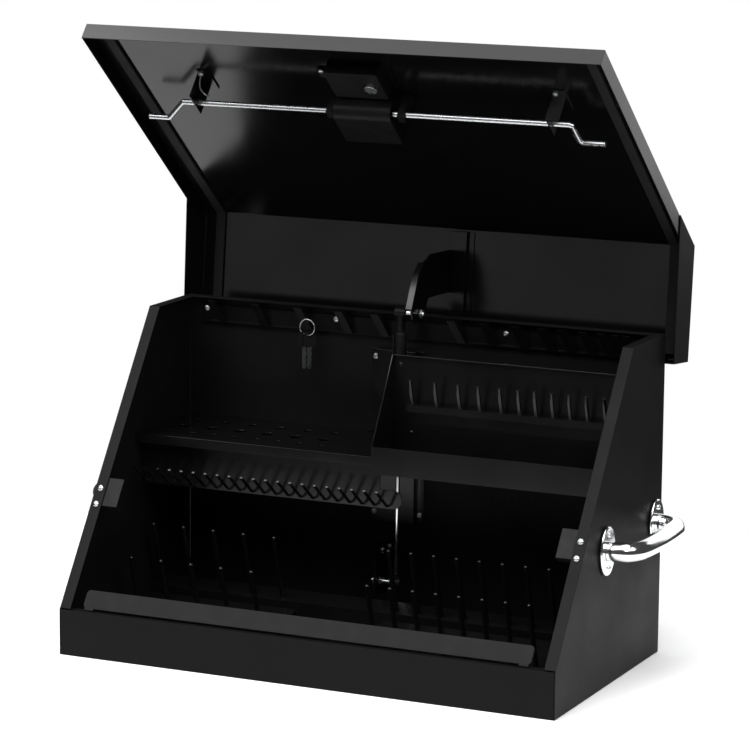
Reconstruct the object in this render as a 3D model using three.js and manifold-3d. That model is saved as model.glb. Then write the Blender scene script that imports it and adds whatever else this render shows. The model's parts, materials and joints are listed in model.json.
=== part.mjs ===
// Portable slant-front tool box of folded sheet steel, standing open.
// Millimetres, +Z up. X runs across the front, Y from the front wall to the back.
// The origin is the middle of the underside, so the box stands on z = 0.
import * as THREE from 'three';
import { mergeVertices } from 'three/addons/utils/BufferGeometryUtils.js';
import Module from 'manifold-3d';

const wasm = await Module();
wasm.setup();

// ---------------------------------------------------------------- driving dimensions

const WIDTH = 762;              // outside width of the body
const DEPTH = 400;              // outside depth of the body
const HEIGHT = 465;             // height of the flat top rim
const FRONT = 66;               // height of the front wall
const TOP = 127;                // depth of the flat top behind the slope
const SHEET = 1.5;              // body and lid sheet
const FLANGE = 17;              // rim flange folded inwards all round the opening
const GAP = 0.3;                // free space left between pieces that touch

const HINGE_BACK = 12;          // hinge pin behind the back wall
const HINGE_DROP = 36;          // hinge pin below the flat top rim
const LID_OPEN = 95.6;          // degrees from shut to fully open
const LID_RISE = 15;            // lid skin above the flat top rim, shut
const LID_BACK = 8.5;           // lid skin behind the hinge pin, shut
const LID_TOP = 167;            // length of the lid's top panel
const LID_SLOPE = 483;          // length of the lid's slope panel
const LID_SIDE = 12.7;          // lid wider than the body, each side
const LID_RIM = 24;             // depth of the rim round the slope panel
const LID_SKIRT = 59;           // depth of the skirt round the top panel

const SHELF_Z = 283;            // top of the screwdriver shelf
const SHELF_Y = 224;            // its front edge
const TRAY_X = 11;              // outside of the tray's left wall
const TRAY_FRONT = 207;         // outside of the tray's front wall
const TRAY_BACK = 281;          // outside of the tray's back wall
const TRAY_FLOOR = 262;
const TRAY_LIP = 302;           // top of the tray's front wall
const TRAY_TOP = 425;           // top of the tray's back wall
const TRAY_HORN = 451;          // top of the tray's left wall at the back
const PEG_LEAN = 17.4;          // degrees, lean of the bottom racks and their pegs
const POST_Z = 150;             // foot of the centre post
const POST_TOP = 408;
const RACK_Z = HEIGHT - 38;     // foot of the wrench rack
const RACK_TOP = HEIGHT - 4;    // tips of its hooks

const STRUT_X = -11;            // plane of the gas strut
const STRUT_TOP = [356, HEIGHT + 7];   // upper ball, y and z, lid open
const STRUT_FOOT = [347, 70];   // lower ball, y and z
const TUBE_D = 18;
const TUBE_LENGTH = 214;
const ROD_D = 6.5;
const CAP = 28;                 // upper ball to the end of the tube
const ARM_X = 15;               // left face of the lid arm
const STUD_D = 8;

const LATCH_X = 4;              // middle of the latch
const LATCH_S = 395;            // middle of its pan, down the slope panel
const COVER_S = 326;            // middle of the mechanism cover
const BAR_DEPTH = 34;           // latch bars below the lid skin
const BAR_S = 349;              // latch bars down the slope panel
const BAR_D = 8;
const BAR_REACH = 352;          // tips of the latch bars from the middle

const GRIP_Y = [178, 372];      // grab handle, front and rear feet
const GRIP_Z = 196;
const GRIP_OUT = 45;            // centre of the bar from the side panel
const GRIP_D = 28;

// ---------------------------------------------------------------- derived places

const slopeY = DEPTH - TOP;
const slopeAngle = Math.atan2(HEIGHT - FRONT, slopeY);
const side = WIDTH / 2;
const inside = side - SHEET - GAP;
const backFace = DEPTH - SHEET - GAP;
const floorTop = SHEET + GAP;
const hinge = [DEPTH + HINGE_BACK, HEIGHT - HINGE_DROP];
const lidTopZ = HEIGHT + LID_RISE;
const lidBackY = hinge[0] + LID_BACK;
const lidBendY = lidBackY - LID_TOP;
const lidOuter = side + LID_SIDE;
const lidInner = lidOuter - SHEET - GAP;
const slopeDir = [-Math.cos(slopeAngle), -Math.sin(slopeAngle)];
const openAngle = THREE.MathUtils.degToRad(LID_OPEN);

// ---------------------------------------------------------------- materials

const paint = new THREE.MeshStandardMaterial({ color: 0x101113, roughness: 0.42, metalness: 0.1 });
const gloss = new THREE.MeshStandardMaterial({ color: 0x0b0b0c, roughness: 0.25, metalness: 0.1 });
const chrome = new THREE.MeshStandardMaterial({ color: 0xd9dbde, roughness: 0.08, metalness: 1 });
const zinc = new THREE.MeshStandardMaterial({ color: 0xb4b7ba, roughness: 0.35, metalness: 1 });
const rubber = new THREE.MeshStandardMaterial({ color: 0x1a1a1b, roughness: 0.85, metalness: 0 });
const plastic = new THREE.MeshStandardMaterial({ color: 0x151516, roughness: 0.6, metalness: 0 });
const steel = new THREE.MeshStandardMaterial({ color: 0x9fa2a5, roughness: 0.3, metalness: 1 });

// ---------------------------------------------------------------- shape helpers

const shapeOf = (points) => new THREE.Shape(points.map(([a, b]) => new THREE.Vector2(a, b)));

// Prism with its outline in the Y-Z plane, between two x values.
function prismX(points, x0, x1, holes = []) {
  const shape = shapeOf(points);
  shape.holes = holes.map((hole) => shapeOf(hole));
  const geometry = new THREE.ExtrudeGeometry(shape, { depth: x1 - x0, bevelEnabled: false });
  geometry.translate(0, 0, x0);
  return geometry.applyMatrix4(new THREE.Matrix4().makeBasis(
    new THREE.Vector3(0, 1, 0), new THREE.Vector3(0, 0, 1), new THREE.Vector3(1, 0, 0)));
}

// Prism with its outline in the X-Z plane, between two y values.
function prismY(points, y0, y1) {
  const geometry = new THREE.ExtrudeGeometry(shapeOf(points), { depth: y1 - y0, bevelEnabled: false });
  geometry.rotateX(Math.PI / 2);
  return geometry.translate(0, y1, 0);
}

// Prism with its outline in the X-Y plane, between two z values.
function prismZ(points, z0, z1, holes = []) {
  const shape = shapeOf(points);
  shape.holes = holes.map((hole) => shapeOf(hole));
  const geometry = new THREE.ExtrudeGeometry(shape, { depth: z1 - z0, bevelEnabled: false });
  return geometry.translate(0, 0, z0);
}

// Box between two corners.
function block(x0, x1, y0, y1, z0, z1) {
  const geometry = new THREE.BoxGeometry(x1 - x0, y1 - y0, z1 - z0);
  return geometry.translate((x0 + x1) / 2, (y0 + y1) / 2, (z0 + z1) / 2);
}

// Round bar between two points.
function bar(from, to, diameter, sides = 12) {
  const a = new THREE.Vector3(...from);
  const b = new THREE.Vector3(...to);
  const geometry = new THREE.CylinderGeometry(diameter / 2, diameter / 2, a.distanceTo(b), sides);
  const turn = new THREE.Quaternion().setFromUnitVectors(
    new THREE.Vector3(0, 1, 0), b.clone().sub(a).normalize());
  geometry.applyQuaternion(turn);
  return geometry.translate((a.x + b.x) / 2, (a.y + b.y) / 2, (a.z + b.z) / 2);
}

// Sleeve along X round (y, z).
function sleeve(x0, x1, y, z, outer, inner, sides = 16) {
  const profile = [[inner / 2, 0], [outer / 2, 0], [outer / 2, x1 - x0], [inner / 2, x1 - x0], [inner / 2, 0]]
    .map(([radius, along]) => new THREE.Vector2(radius, along));
  const geometry = new THREE.LatheGeometry(profile, sides);
  geometry.rotateZ(-Math.PI / 2);
  return geometry.translate(x0, y, z);
}

// Round bar bent along a line in the X-Y plane, mitred at every corner.
function bentBar(line, diameter, sides) {
  const points = [];
  line.forEach((point, i) => {
    const before = leftOf(line[Math.max(i - 1, 0)], line[Math.max(i, 1)]);
    const last = line.length - 1;
    const after = leftOf(line[Math.min(i, last - 1)], line[Math.min(i + 1, last)]);
    const scale = 1 / (1 + before[0] * after[0] + before[1] * after[1]);
    for (let k = 0; k < sides; k += 1) {
      const a = (k * 2 * Math.PI) / sides;
      const across = (diameter / 2) * Math.cos(a) * scale;
      points.push(point[0] + across * (before[0] + after[0]), point[1] + across * (before[1] + after[1]),
        (diameter / 2) * Math.sin(a));
    }
  });
  const faces = [];
  for (let k = 1; k < sides - 1; k += 1) {
    const end = (line.length - 1) * sides;
    faces.push(0, k + 1, k, end, end + k, end + k + 1);
  }
  for (let i = 0; i < line.length - 1; i += 1) {
    for (let k = 0; k < sides; k += 1) {
      const a = i * sides + k;
      const b = i * sides + ((k + 1) % sides);
      faces.push(a, b, a + sides, b, b + sides, a + sides);
    }
  }
  const geometry = new THREE.BufferGeometry();
  geometry.setAttribute('position', new THREE.Float32BufferAttribute(points, 3));
  geometry.setIndex(faces);
  return geometry;
}

// Bar of round section along a list of points joined by a smooth curve.
function wire(points, diameter, sides = 10, steps = 24) {
  const path = new THREE.CatmullRomCurve3(points.map((p) => new THREE.Vector3(...p)), false, 'centripetal');
  const ring = [];
  for (let i = 0; i < sides; i += 1) {
    const a = (i * 2 * Math.PI) / sides;
    ring.push([(diameter / 2) * Math.cos(a), (diameter / 2) * Math.sin(a)]);
  }
  return new THREE.ExtrudeGeometry(shapeOf(ring), { steps, extrudePath: path });
}

// Closed outline of a sheet of one thickness folded along a list of points.
// The sheet lies on the left of the line when thickness is positive.
const folded = (points, thickness) => [...points, ...shifted(points, thickness).reverse()];

// The same line moved sideways, to its left when the distance is positive.
function shifted(points, distance) {
  return points.map((point, i) => {
    const normals = [];
    if (i > 0) normals.push(leftOf(points[i - 1], point));
    if (i < points.length - 1) normals.push(leftOf(point, points[i + 1]));
    const sum = normals.reduce(([a, b], [c, d]) => [a + c, b + d], [0, 0]);
    const scale = normals.length === 1
      ? distance
      : distance / (1 + normals[0][0] * normals[1][0] + normals[0][1] * normals[1][1]);
    return [point[0] + sum[0] * scale, point[1] + sum[1] * scale];
  });
}

function leftOf([a, b], [c, d]) {
  const length = Math.hypot(c - a, d - b);
  return [-(d - b) / length, (c - a) / length];
}

function circle(x, y, radius, sides = 12) {
  const points = [];
  for (let i = 0; i < sides; i += 1) {
    const a = (i * 2 * Math.PI) / sides;
    points.push([x + radius * Math.cos(a), y + radius * Math.sin(a)]);
  }
  return points;
}

// Rectangle with its corners rounded.
function rounded(x0, x1, y0, y1, radius, steps = 4) {
  const points = [];
  const corners = [[x1 - radius, y1 - radius, 0], [x0 + radius, y1 - radius, 1],
    [x0 + radius, y0 + radius, 2], [x1 - radius, y0 + radius, 3]];
  for (const [cx, cy, quarter] of corners) {
    for (let i = 0; i <= steps; i += 1) {
      const a = ((quarter + i / steps) * Math.PI) / 2;
      points.push([cx + radius * Math.cos(a), cy + radius * Math.sin(a)]);
    }
  }
  return points;
}

// ---------------------------------------------------------------- solids and booleans

function solid(geometry) {
  const bare = geometry.clone();
  for (const name of ['normal', 'uv']) bare.deleteAttribute(name);
  const merged = mergeVertices(bare, 1e-4);
  return new wasm.Manifold(new wasm.Mesh({
    numProp: 3,
    vertProperties: new Float32Array(merged.attributes.position.array),
    triVerts: new Uint32Array(merged.index.array),
  }));
}

function joined(...geometries) {
  return asGeometry(geometries.map(solid).reduce((a, b) => a.add(b)));
}

function cut(geometry, ...tools) {
  return asGeometry(tools.map(solid).reduce((a, b) => a.subtract(b), solid(geometry)));
}

function asGeometry(manifold) {
  const { vertProperties, triVerts } = manifold.getMesh();
  const geometry = new THREE.BufferGeometry();
  geometry.setAttribute('position', new THREE.BufferAttribute(vertProperties, 3));
  geometry.setIndex(new THREE.BufferAttribute(triVerts, 1));
  return geometry;
}

function add(parent, name, geometry, material) {
  const mesh = new THREE.Mesh(geometry, material);
  mesh.name = name;
  parent.add(mesh);
}

// ---------------------------------------------------------------- body shell

// Floor, front wall with its lip, and back wall with its lip, folded from one sheet.
function bodyWrap() {
  const line = [[FLANGE, FRONT], [0, FRONT], [0, 0], [DEPTH, 0], [DEPTH, HEIGHT], [DEPTH - FLANGE, HEIGHT]];
  const wrap = prismX(folded(line, SHEET), -inside, inside);
  const corners = [-1, 1].map((s) => block(
    Math.min(s * (side - FLANGE - GAP), s * side), Math.max(s * (side - FLANGE - GAP), s * side),
    DEPTH - FLANGE - 1, DEPTH - SHEET, HEIGHT - 2 * SHEET, HEIGHT + 1));
  return cut(wrap, ...corners);
}

// Side panel with a flange folded inwards along the slope and the flat top.
function sidePanel(s) {
  const outline = [[0, 0], [DEPTH, 0], [DEPTH, HEIGHT], [slopeY, HEIGHT], [0, FRONT]];
  const start = 2.5;
  const rim = [[-start * slopeDir[0], FRONT - start * slopeDir[1]], [slopeY, HEIGHT], [backFace, HEIGHT]];
  const plate = prismX(outline, Math.min(s * side, s * (side - SHEET)), Math.max(s * side, s * (side - SHEET)));
  const flange = prismX(folded(rim, -SHEET), Math.min(s * side, s * (side - FLANGE)),
    Math.max(s * side, s * (side - FLANGE)));
  return joined(plate, flange);
}

// ---------------------------------------------------------------- inner fittings

const HOOK_X = [-319, -248, -177, -110, -51, 71, 122, 171, 213, 244, 276, 304, 325, 342];
const HOOK_W = 13;
const HOOK_LEAN = 0.37;         // how far a hook slants to the left for each mm it rises
const RING = [-170, 371, RACK_Z + 7.4];  // middle of the key ring
const RING_R = 12;

// Wrench rack: an angle on the back wall with hooks that rise forwards and to the left, and a peg for keys.
function wrenchRack() {
  const thickness = 2;
  const middle = backFace - thickness / 2;
  const angle = [[middle, RACK_Z + 25], [middle, RACK_Z], [backFace - 7, RACK_Z]];
  const plate = prismX(folded(angle, -thickness), -356, 352);
  const pegZ = RING[2] + RING_R - 3;
  const peg = bar([RING[0], backFace - 1, pegZ], [RING[0], RING[1] - 5, pegZ], 3, 8);
  const knob = bar([RING[0], RING[1] - 4, pegZ], [RING[0], RING[1] - 7, pegZ], 7, 8);
  const hook = folded([[middle, RACK_Z], [backFace - 9, RACK_Z], [backFace - 23, RACK_TOP]], -thickness);
  const slant = new THREE.Matrix4().makeShear(0, 0, 0, 0, -HOOK_LEAN, 0).setPosition(HOOK_LEAN * RACK_Z, 0, 0);
  const hooks = HOOK_X.map((x) => prismX(hook, x - HOOK_W / 2, x + HOOK_W / 2).applyMatrix4(slant));
  return joined(plate, peg, knob, ...hooks);
}

// Screwdriver shelf: three rows of holes, a front flange and a notch for the strut.
function shelf() {
  const right = TRAY_X - GAP;
  const notchX = STRUT_X - TUBE_D;
  const outline = [[-inside, SHELF_Y], [right, SHELF_Y], [right, TRAY_BACK + 30], [notchX, TRAY_BACK + 30],
    [notchX, backFace - 11], [-76.5, backFace - 11], [-76.5, backFace], [-inside, backFace]];
  const rows = [[38, 35, 5], [80, 46, 9], [128, 45, 7]];
  const holes = rows.flatMap(([back, pitch, radius]) => {
    const row = [];
    for (let x = -inside + 40; x < notchX - 45; x += pitch) row.push(circle(x, SHELF_Y + back, radius, 10));
    return row;
  });
  const flange = block(-inside, right, SHELF_Y, SHELF_Y + SHEET, SHELF_Z - 14, SHELF_Z - SHEET / 2);
  return joined(prismZ(outline, SHELF_Z - SHEET, SHELF_Z, holes), flange);
}

const PEG_Y = 245;

// Rack under the shelf: a plate with a rounded end and 21 hooked pegs, hung from the shelf by a web.
function pegRack() {
  const foot = 205;
  const top = 232;
  const right = 43;
  const plate = [[-inside, foot], [right - 13.5, foot]];
  for (let i = 1; i < 8; i += 1) {
    const a = (i * Math.PI) / 8;
    plate.push([right - 13.5 + 13.5 * Math.sin(a), (foot + top) / 2 - 13.5 * Math.cos(a)]);
  }
  plate.push([right - 13.5, top], [-inside, top]);
  const parts = [prismY(plate, PEG_Y, PEG_Y + 2)];
  const peg = folded([[PEG_Y + 1, foot + 4], [PEG_Y - 8, foot + 4], [PEG_Y - 45, top + 5]], -2.2);
  for (let i = 0; i < 21; i += 1) {
    const x = -369 + i * 19.6;
    parts.push(prismX(peg, x - 2, x + 2));
  }
  parts.push(block(-inside + 1, TRAY_X - 3, PEG_Y, PEG_Y + 2, top - 2, SHELF_Z - SHEET - GAP));
  return joined(...parts);
}

// Small-parts tray with sloping ends, held off the back wall.
function tray() {
  const right = inside;
  const outline = [[TRAY_FRONT, TRAY_FLOOR], [TRAY_BACK, TRAY_FLOOR], [TRAY_BACK, TRAY_HORN],
    [TRAY_BACK - 2, TRAY_HORN], [TRAY_BACK - 4, TRAY_TOP], [TRAY_FRONT, TRAY_LIP]];
  const wall = prismX(outline, TRAY_X, TRAY_X + SHEET);
  const end = prismX(outline.map(([y, z]) => [y, Math.min(z, TRAY_TOP)]), right - SHEET, right);
  const fold = folded([[TRAY_FRONT, TRAY_LIP], [TRAY_FRONT, TRAY_FLOOR], [TRAY_BACK, TRAY_FLOOR],
    [TRAY_BACK, TRAY_TOP], [TRAY_BACK - 7, TRAY_TOP]], SHEET);
  return joined(prismX(fold, TRAY_X + SHEET / 2, right - SHEET / 2), wall, end);
}

const TRAY_PEG_X = [47, 85, 121, 152, 185, 213, 238, 264, 290, 316, 343];

// Rail across the tray's back wall with eleven pegs.
function trayRail() {
  const back = TRAY_BACK - SHEET - GAP;
  const rail = block(38, 352, back - 12, back, 345, 355);
  const pegs = TRAY_PEG_X.map((x) => bar([x, back - 8, 350], [x, back - 20, 392], 6, 8));
  return joined(rail, ...pegs);
}

// Angle that carries the tray's back wall off the back of the box.
function trayBracket() {
  const line = [[backFace, 296], [backFace, 268], [TRAY_BACK + GAP, 268], [TRAY_BACK + GAP, 296]];
  return prismX(folded(line, -3), 60, 86);
}

// Centre post: a shallow hat channel on the back wall.
function centrePost() {
  const line = [[-76, backFace], [-62, backFace], [-62, backFace - 8], [-4, backFace - 8], [-4, backFace],
    [10, backFace]];
  return prismZ(folded(line, -SHEET), POST_Z, POST_TOP);
}

// Point on the leaning bed of the bottom racks, s mm up the bed and h above it.
const lean = THREE.MathUtils.degToRad(PEG_LEAN);
const bed = (s, h) => [
  160 + s * Math.cos(lean) - h * Math.sin(lean), 10.5 + s * Math.sin(lean) + h * Math.cos(lean)];

// One bottom rack: a leaning plate on two legs, with pegs square to it.
function bottomRack(x0, x1, s0, s1, pegS, pegs, front, back) {
  const line = [[bed(s0, 0)[0], front], bed(s0, 0), bed(s1, 0), [bed(s1, 0)[0], back]];
  const parts = [prismX(folded(line, -2), x0, x1)];
  for (const x of pegs) {
    parts.push(bar([x, ...bed(pegS, -1)], [x, ...bed(pegS, 99)], 7, 10));
  }
  return joined(...parts);
}

const row = (first, pitch, count) => Array.from({ length: count }, (_, i) => first + i * pitch);

// Magnetic tool rail along the foot of the opening, parallel to the slope.
function frontRail() {
  const depth = 5.4;
  const rail = prismZ(rounded(-348, 341, 8.4, 36.4, 6), -depth - 4, -depth);
  const tabs = [-345, 324].map((x) => block(x, x + 14, 5.6, 12, -depth - 2, -depth));
  return joined(rail, ...tabs);
}

// Strike under a side flange: a plate with its lower end turned down.
function strike(s) {
  const inner = side - FLANGE - 24;
  const outer = side - SHEET - GAP;
  const plate = block(Math.min(s * inner, s * outer), Math.max(s * inner, s * outer), 164, 208, -4.6, -2.1);
  const lip = block(Math.min(s * inner, s * outer), Math.max(s * inner, s * outer), 164, 166.5, -16, -4.3);
  return joined(plate, lip);
}

// ---------------------------------------------------------------- grab handles

function grip(s) {
  const [y0, y1] = GRIP_Y;
  const path = [[15, y0], [32, y0 + 8], [GRIP_OUT - 4, y0 + 28], [GRIP_OUT, (y0 + y1) / 2],
    [GRIP_OUT - 4, y1 - 28], [32, y1 - 8], [15, y1]];
  const curve = new THREE.CatmullRomCurve3(path.map(([out, y]) => new THREE.Vector3(s * (side + out), y, 0)));
  const foot = s * (side + 5.8);
  const line = [[foot, y0], ...curve.getPoints(20).map((p) => [p.x, p.y]), [foot, y1]];
  return bentBar(line, GRIP_D, 14).translate(0, 0, GRIP_Z);
}

// Oval foot of a grab handle.
function rose(s, y) {
  const points = [];
  for (let i = 0; i < 24; i += 1) {
    const a = (i * Math.PI) / 12;
    points.push([y + 26 * Math.cos(a), GRIP_Z + 35 * Math.sin(a)]);
  }
  const near = side + GAP;
  const far = side + 5.5;
  return prismX(points, Math.min(s * near, s * far), Math.max(s * near, s * far));
}

// ---------------------------------------------------------------- hinge

const LEAF_X = 372;             // half length of the hinge
const KNUCKLE = 7.2;
const KNUCKLES = 15;

// Knuckles of one leaf: every second space along the pin.
function knuckles(first) {
  const pitch = (2 * LEAF_X) / KNUCKLES;
  const list = [];
  for (let i = first; i < KNUCKLES; i += 2) {
    const x = -LEAF_X + i * pitch;
    list.push(sleeve(x + GAP, x + pitch - GAP, ...hinge, KNUCKLE, 4.6, 12));
  }
  return list;
}

// Leaf from y0 to y1 beside the pin, cut back where the other leaf's knuckles turn.
function leaf(y0, y1, z0, z1, first) {
  const pitch = (2 * LEAF_X) / KNUCKLES;
  const plate = block(-LEAF_X, LEAF_X, y0, y1, z0, z1);
  const reliefs = [];
  for (let i = 1 - first; i < KNUCKLES; i += 2) {
    const x = -LEAF_X + i * pitch;
    reliefs.push(block(x - GAP, x + pitch + GAP, y0 - 1, y1 + 1, z0 - 1, hinge[1] + KNUCKLE / 2 + 1.5));
  }
  const bore = bar([-LEAF_X - 1, ...hinge], [LEAF_X + 1, ...hinge], 4.6, 12);
  return cut(joined(cut(plate, ...reliefs), ...knuckles(first)), bore);
}

// ---------------------------------------------------------------- lid, drawn shut

const depthIn = (p, d) => [p[0] + d * Math.sin(slopeAngle), p[1] - d * Math.cos(slopeAngle)];
const bend = [lidBendY, lidTopZ];
const down = (s) => [bend[0] + s * slopeDir[0], bend[1] + s * slopeDir[1]];

// Lid skin: front rim, slope panel, top panel and rear skirt in one sheet, with the rims of the slope.
function lidSkin() {
  const line = [depthIn(down(LID_SLOPE), LID_RIM), down(LID_SLOPE), bend, [lidBackY, lidTopZ],
    [lidBackY, lidTopZ - LID_SKIRT]];
  const skin = prismX(folded(line, -SHEET), -lidInner, lidInner);
  const rim = [down(LID_SLOPE), bend, depthIn(bend, LID_RIM), depthIn(down(LID_SLOPE), LID_RIM)];
  const rims = [-1, 1].map((s) => prismX(rim, Math.min(s * lidInner, s * (lidInner - SHEET)),
    Math.max(s * lidInner, s * (lidInner - SHEET))));
  const window = lidFrame(block(LATCH_X - 41, LATCH_X + 41, LATCH_S - 30, LATCH_S + 30, -5, 5));
  return cut(joined(skin, ...rims), window);
}

// Moves a shape from the slope panel's own frame (x, down the slope, inwards) to the shut lid.
function lidFrame(geometry) {
  const frame = new THREE.Matrix4().makeRotationX(Math.PI + slopeAngle);
  frame.setPosition(0, ...bend);
  return geometry.applyMatrix4(frame);
}

// Side of the lid: a deep skirt outside the rims.
function lidSide(s) {
  const skirt = [[lidBackY, lidTopZ], bend, down(82), [lidBackY, lidTopZ - LID_SKIRT]];
  const ends = [s * lidOuter, s * (lidOuter - SHEET)];
  return prismX(skirt, Math.min(...ends), Math.max(...ends));
}

// Strip along one side of the lid, under both panels, between two distances from the middle.
function lidStrip(near, far, thickness) {
  const line = shifted([down(LID_SLOPE - 4), bend, [lidBackY - 9, lidTopZ]], -SHEET - GAP);
  return prismX(folded(line, -thickness), Math.min(near, far), Math.max(near, far));
}

// Hat stiffener down the middle of the top panel.
function lidStiffener() {
  const top = lidTopZ - SHEET - GAP;
  const web = ARM_X + 3 + GAP + SHEET;
  const line = [[web - 10, top], [web, top], [web, top - 6], [web + 22, top - 6], [web + 22, top],
    [web + 33, top]];
  return prismY(folded(line, -SHEET), lidBendY + 4, lidBendY + 140);
}

// Turns a point given with the lid open back to where it lies with the lid shut.
function shut([y, z]) {
  const dy = y - hinge[0];
  const dz = z - hinge[1];
  return [hinge[0] + dy * Math.cos(openAngle) - dz * Math.sin(openAngle),
    hinge[1] + dy * Math.sin(openAngle) + dz * Math.cos(openAngle)];
}

// Arm from the lid to the strut, with a flange along its front edge. Points are for the lid open.
function lidArm() {
  const open = [[468, 86], [396, 89], [371, 80], [350, 63], [327, 17], [333, 1], [344, -6], [364, -6],
    [373, 2], [387, 25], [413, 25], [465, 23]].map(([y, rise]) => [y, HEIGHT + rise]);
  const flange = folded(open.slice(2, 5).map(shut), 2.5);
  const eye = bar([ARM_X - 5, ...shut(STRUT_TOP)], [ARM_X + 9, ...shut(STRUT_TOP)], STUD_D + 2 * GAP, 12);
  return cut(joined(prismX(open.map(shut), ARM_X, ARM_X + 3), prismX(flange, ARM_X - 7, ARM_X + 1)), eye);
}

// Stud for a ball socket: a shank through a plate, a collar before it and a nut behind it.
function stud(ball, plate, place) {
  const s = Math.sign(plate[0] - ball);
  const hexagon = (x) => bar([x, ...place], [x + s * 5, ...place], 14, 6);
  return joined(bar([ball, ...place], [plate[1] + s * 8, ...place], STUD_D, 12),
    hexagon(plate[0] - s * (5 + GAP)), hexagon(plate[1] + s * GAP));
}

// ---------------------------------------------------------------- latch, in the slope panel's frame

// Pan let into the lid: a frame outside and a box inside, open to the outside.
function latchPan() {
  const face = prismZ(rounded(LATCH_X - 50, LATCH_X + 50, LATCH_S - 39, LATCH_S + 39, 6), -2 - GAP, -GAP);
  const box = block(LATCH_X - 40, LATCH_X + 40, LATCH_S - 29, LATCH_S + 29, -1, 22);
  const hollow = block(LATCH_X - 38, LATCH_X + 38, LATCH_S - 27, LATCH_S + 27, -4, 20);
  return cut(joined(face, box), hollow, bar([LATCH_X + 24, LATCH_S, 15], [LATCH_X + 24, LATCH_S, 25], 19, 16));
}

// Ears that screw the pan to the inside of the lid.
function latchEars() {
  const y0 = LATCH_S - 8;
  return joined(block(LATCH_X - 62, LATCH_X - 40 - GAP, y0, y0 + 20, SHEET + GAP, 5),
    block(LATCH_X - 44, LATCH_X - 40 - GAP, y0 - 15, y0 + 27, SHEET + GAP, 18));
}

// Paddle that lies in the pan and turns out about its upper edge.
function paddle() {
  const plate = prismZ(rounded(LATCH_X - 36, LATCH_X + 8, LATCH_S - 20, LATCH_S + 22, 4), -1, 2);
  const barrel = bar([LATCH_X - 36, LATCH_S - 21, 3.5], [LATCH_X + 8, LATCH_S - 21, 3.5], 8, 12);
  const bore = bar([LATCH_X - 40, LATCH_S - 21, 3.5], [LATCH_X + 20, LATCH_S - 21, 3.5], 3.8, 12);
  return cut(joined(plate, barrel), bore);
}

// Cover over the latch mechanism: open towards the lid, slots in both ends for the bars.
function latchCover() {
  const depth = 46;
  const half = 35;
  const arch = [[COVER_S - half, SHEET + GAP], [COVER_S + half, SHEET + GAP], [COVER_S + half, depth - 16]];
  for (let i = 0; i <= 6; i += 1) {
    const a = (i * Math.PI) / 12;
    arch.push([COVER_S + half - 16 * (1 - Math.cos(a)), depth - 16 + 16 * Math.sin(a)]);
  }
  arch.push([COVER_S - half, depth]);
  const outer = prismX(arch, LATCH_X - 44, LATCH_X + 44);
  const inner = block(LATCH_X - 42, LATCH_X + 42, COVER_S - half + 2, COVER_S + half - 8, -1, depth - 4);
  const slot = block(LATCH_X - 60, LATCH_X + 60, BAR_S - 7, BAR_S + 7, BAR_DEPTH - 7, BAR_DEPTH + 7);
  return cut(outer, inner, slot);
}

// Two-armed crank that pulls both bars in.
function latchCrank() {
  const z = BAR_DEPTH;
  const hub = bar([LATCH_X, BAR_S - 20, SHEET + GAP], [LATCH_X, BAR_S - 20, z - 8], 16, 12);
  const arms = prismZ([[LATCH_X - 8, BAR_S - 34], [LATCH_X + 8, BAR_S - 34], [LATCH_X + 8, BAR_S - 8],
    [LATCH_X - 8, BAR_S - 8]], z - 12, z - 8);
  return joined(hub, arms);
}

// Latch bar: straight from the cover to its guide, then cranked to the strike.
function latchBar(s) {
  const knee = s < 0 ? 279 : 311;
  const line = [[s * 24, BAR_S], [s * knee, BAR_S], [s * (knee + 3), BAR_S - 2], [s * 315, BAR_S - 38],
    [s * 319, BAR_S - 43], [s * BAR_REACH, BAR_S - 43]];
  return bentBar(line, BAR_D, 12).translate(0, 0, BAR_DEPTH);
}

// Post on the lid that steadies a bar where it leaves the cover.
function barPost(s) {
  const x = s < 0 ? -51 : 58;
  const body = block(x, x + 10, BAR_S - 8, BAR_S + 8, SHEET + GAP, BAR_DEPTH + 8);
  return cut(body, bar([x - 5, BAR_S, BAR_DEPTH], [x + 15, BAR_S, BAR_DEPTH], BAR_D + 1, 12));
}

// Angle bracket on the lid that guides a bar.
function barGuide(s) {
  const x = s < 0 ? -248 : 294;
  const foot = block(x - 8, x + 12, BAR_S - 8, BAR_S + 36, SHEET + GAP, SHEET + GAP + 2);
  const web = block(x - 8, x - 6, BAR_S - 14, BAR_S + 30, SHEET + GAP, BAR_DEPTH + 10);
  return cut(joined(foot, web), bar([x - 20, BAR_S, BAR_DEPTH], [x + 10, BAR_S, BAR_DEPTH], BAR_D + 1.4, 12));
}

// Spring wire from the left guide to the bar.
function guideSpring() {
  return wire([[-249, BAR_S + 30, 6], [-250, BAR_S + 26, 14], [-248, BAR_S + 20, 24], [-242, BAR_S + 10, 27],
    [-238, BAR_S + 8, 27]], 2, 8, 12);
}

// ---------------------------------------------------------------- keys

const KEY_TURN = THREE.MathUtils.degToRad(40);   // keys turned out of the plane of the ring

// Wire ring hanging on the peg of the wrench rack.
function keyRing() {
  return new THREE.TorusGeometry(RING_R, 0.9, 8, 24).rotateX(Math.PI / 2).translate(...RING);
}

// Key hanging on the ring, a given angle from its lowest point: plastic head with a hole, steel blade.
function key(angle) {
  const head = prismY(rounded(-9, 9, -17, 5, 6, 3), -1.3, 1.3);
  const blade = block(-3.5, 3.5, -0.9, 0.9, -51, -16);
  const hole = bar([0, -4, 0], [0, 4, 0], 7.8, 12);
  const geometry = cut(joined(head, blade), hole).rotateZ(KEY_TURN);
  return geometry.translate(RING[0] + RING_R * Math.sin(angle), RING[1], RING[2] - RING_R * Math.cos(angle));
}

// ---------------------------------------------------------------- assembly

const part = new THREE.Group();
const model = new THREE.Group();
model.position.y = -DEPTH / 2;
part.add(model);

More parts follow.
